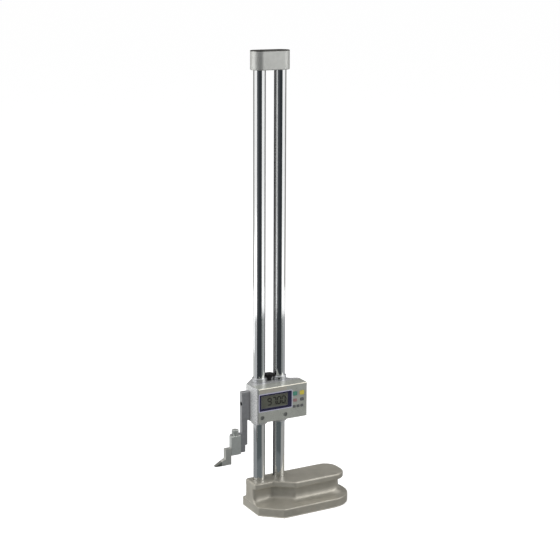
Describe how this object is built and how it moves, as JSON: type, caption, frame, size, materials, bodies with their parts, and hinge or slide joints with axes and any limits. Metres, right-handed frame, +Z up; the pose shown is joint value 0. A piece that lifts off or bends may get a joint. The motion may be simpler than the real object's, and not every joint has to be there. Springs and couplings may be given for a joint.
{
  "type": "height gauge",
  "caption": "Digital height gauge: slider with a display and scriber rides on two round columns over a heavy undercut base, driven by a rack and pinion.",
  "frame": {"origin": "On the underside of the base, midway between the two column axes.", "axes": "+X runs along the base towards its long grip, +Y runs to the rear, +Z is up along the columns; the display faces -Y."},
  "size_m": [0.2495, 0.1079, 0.7708],
  "materials": {
    "cast_grey": "satin grey enamel over a machined iron casting",
    "ground_steel": "ground and polished",
    "rack_steel": "hobbed, oiled",
    "cap_grey": "satin light grey",
    "black_steel": "black oxide",
    "bright_steel": "bright, turned",
    "housing_grey": "die cast with a smooth grey coat",
    "bush_steel": "turned",
    "cover_grey": "smooth, slightly glossy grey",
    "bezel_navy": "dark navy, glossy",
    "window_clear": "clear, polished",
    "lcd_olive": "olive grey display face",
    "board_green": "varnished board",
    "key_green": "satin teal green",
    "key_yellow": "satin yellow",
    "key_grey": "satin dark grey",
    "knob_black": "satin black",
    "wheel_alloy": "dark anodised",
    "pinion_brass": "hobbed",
    "disc_dark": "etched film disc",
    "sensor_black": "moulded",
    "arm_steel": "ground, dark",
    "clamp_steel": "milled",
    "scriber_steel": "ground",
    "carbide": "ground carbide"
  },
  "bodies": {
    "stand": {"base": "cast_grey", "left_column": "ground_steel", "right_column": "ground_steel", "rack": "rack_steel", "column_cap": "cap_grey", "base_screws": "black_steel", "cap_screws": "black_steel"},
    "slider": {"slider_housing": "housing_grey", "left_upper_bush": "bush_steel", "right_upper_bush": "bush_steel", "left_lower_bush": "bush_steel", "right_lower_bush": "bush_steel", "collar_screw": "black_steel", "clamp_shoes": "pinion_brass", "feed_bush": "bright_steel", "encoder_bush": "bush_steel", "encoder_sensor": "sensor_black", "front_cover": "cover_grey", "display_bezel": "bezel_navy", "display_window": "window_clear", "lcd_panel": "lcd_olive", "circuit_board": "board_green", "key_switches": "sensor_black", "board_screws": "bright_steel", "battery": "bright_steel", "cover_screws": "bright_steel", "data_socket": "sensor_black", "socket_cover": "knob_black", "scriber_arm": "arm_steel", "arm_screw": "black_steel", "scriber_clamp": "clamp_steel", "clamp_screws": "black_steel"},
    "feed": {"feed_shaft": "bright_steel", "feed_wheel": "wheel_alloy", "wheel_screw": "black_steel"},
    "encoder": {"encoder_shaft": "pinion_brass", "encoder_disc": "disc_dark"},
    "clamp_knob": {"clamp_knob": "knob_black"},
    "thumb_screw": {"thumb_screw": "bright_steel"},
    "scriber": {"scriber": "scriber_steel", "scriber_tip": "carbide"},
    "battery_cap": {"battery_cap": "knob_black"},
    "zero_key": {"zero_key": "key_green"},
    "hold_key": {"hold_key": "key_yellow"},
    "preset_key": {"preset_key": "key_grey"},
    "mode_key": {"mode_key": "key_grey"},
    "minus_key": {"minus_key": "key_grey"},
    "plus_key": {"plus_key": "key_grey"},
    "power_key": {"power_key": "key_grey"}
  },
  "joints": [
    {"name": "slider_travel", "type": "slide", "parent": "stand", "child": "slider", "axis": [0, 0, 1], "range_m": [-0.0965, 0.5035]},
    {"name": "feed_turn", "type": "hinge", "parent": "slider", "child": "feed", "pos_m": [0.00272, 0, 0.176], "axis": [0, 1, 0], "range_deg": [-770, 4010]},
    {"name": "encoder_turn", "type": "hinge", "parent": "slider", "child": "encoder", "pos_m": [0.00272, 0, 0.19611], "axis": [0, 1, 0], "range_deg": [-770, 4010]},
    {"name": "clamp_knob_turn", "type": "hinge", "parent": "slider", "child": "clamp_knob", "pos_m": [0, 0, 0.224], "axis": [0, 0, 1], "range_deg": [-45, 315]},
    {"name": "thumb_screw_turn", "type": "hinge", "parent": "slider", "child": "thumb_screw", "pos_m": [-0.07465, -0.02035, 0.145], "axis": [0, 0, 1], "range_deg": [-30, 690]},
    {"name": "scriber_slide", "type": "slide", "parent": "slider", "child": "scriber", "axis": [-1, 0, 0], "range_m": [0, 0.008]},
    {"name": "battery_cap_turn", "type": "hinge", "parent": "slider", "child": "battery_cap", "pos_m": [0.0479, -0.0248, 0.211], "axis": [1, 0, 0], "range_deg": [0, 90]},
    {"name": "zero_key_press", "type": "slide", "parent": "slider", "child": "zero_key", "axis": [0, 1, 0], "range_m": [0, 0.0006], "stiffness_N_per_m": 1500},
    {"name": "hold_key_press", "type": "slide", "parent": "slider", "child": "hold_key", "axis": [0, 1, 0], "range_m": [0, 0.0006], "stiffness_N_per_m": 1500},
    {"name": "preset_key_press", "type": "slide", "parent": "slider", "child": "preset_key", "axis": [0, 1, 0], "range_m": [0, 0.0006], "stiffness_N_per_m": 1500},
    {"name": "mode_key_press", "type": "slide", "parent": "slider", "child": "mode_key", "axis": [0, 1, 0], "range_m": [0, 0.0006], "stiffness_N_per_m": 1500},
    {"name": "minus_key_press", "type": "slide", "parent": "slider", "child": "minus_key", "axis": [0, 1, 0], "range_m": [0, 0.0006], "stiffness_N_per_m": 1500},
    {"name": "plus_key_press", "type": "slide", "parent": "slider", "child": "plus_key", "axis": [0, 1, 0], "range_m": [0, 0.0006], "stiffness_N_per_m": 1500},
    {"name": "power_key_press", "type": "slide", "parent": "slider", "child": "power_key", "axis": [0, 1, 0], "range_m": [0, 0.0006], "stiffness_N_per_m": 1500}
  ],
  "couplings": [
    {"joint": "feed_turn", "follows": "slider_travel", "rad_per_m": 138.89},
    {"joint": "encoder_turn", "follows": "slider_travel", "rad_per_m": 138.89}
  ]
}
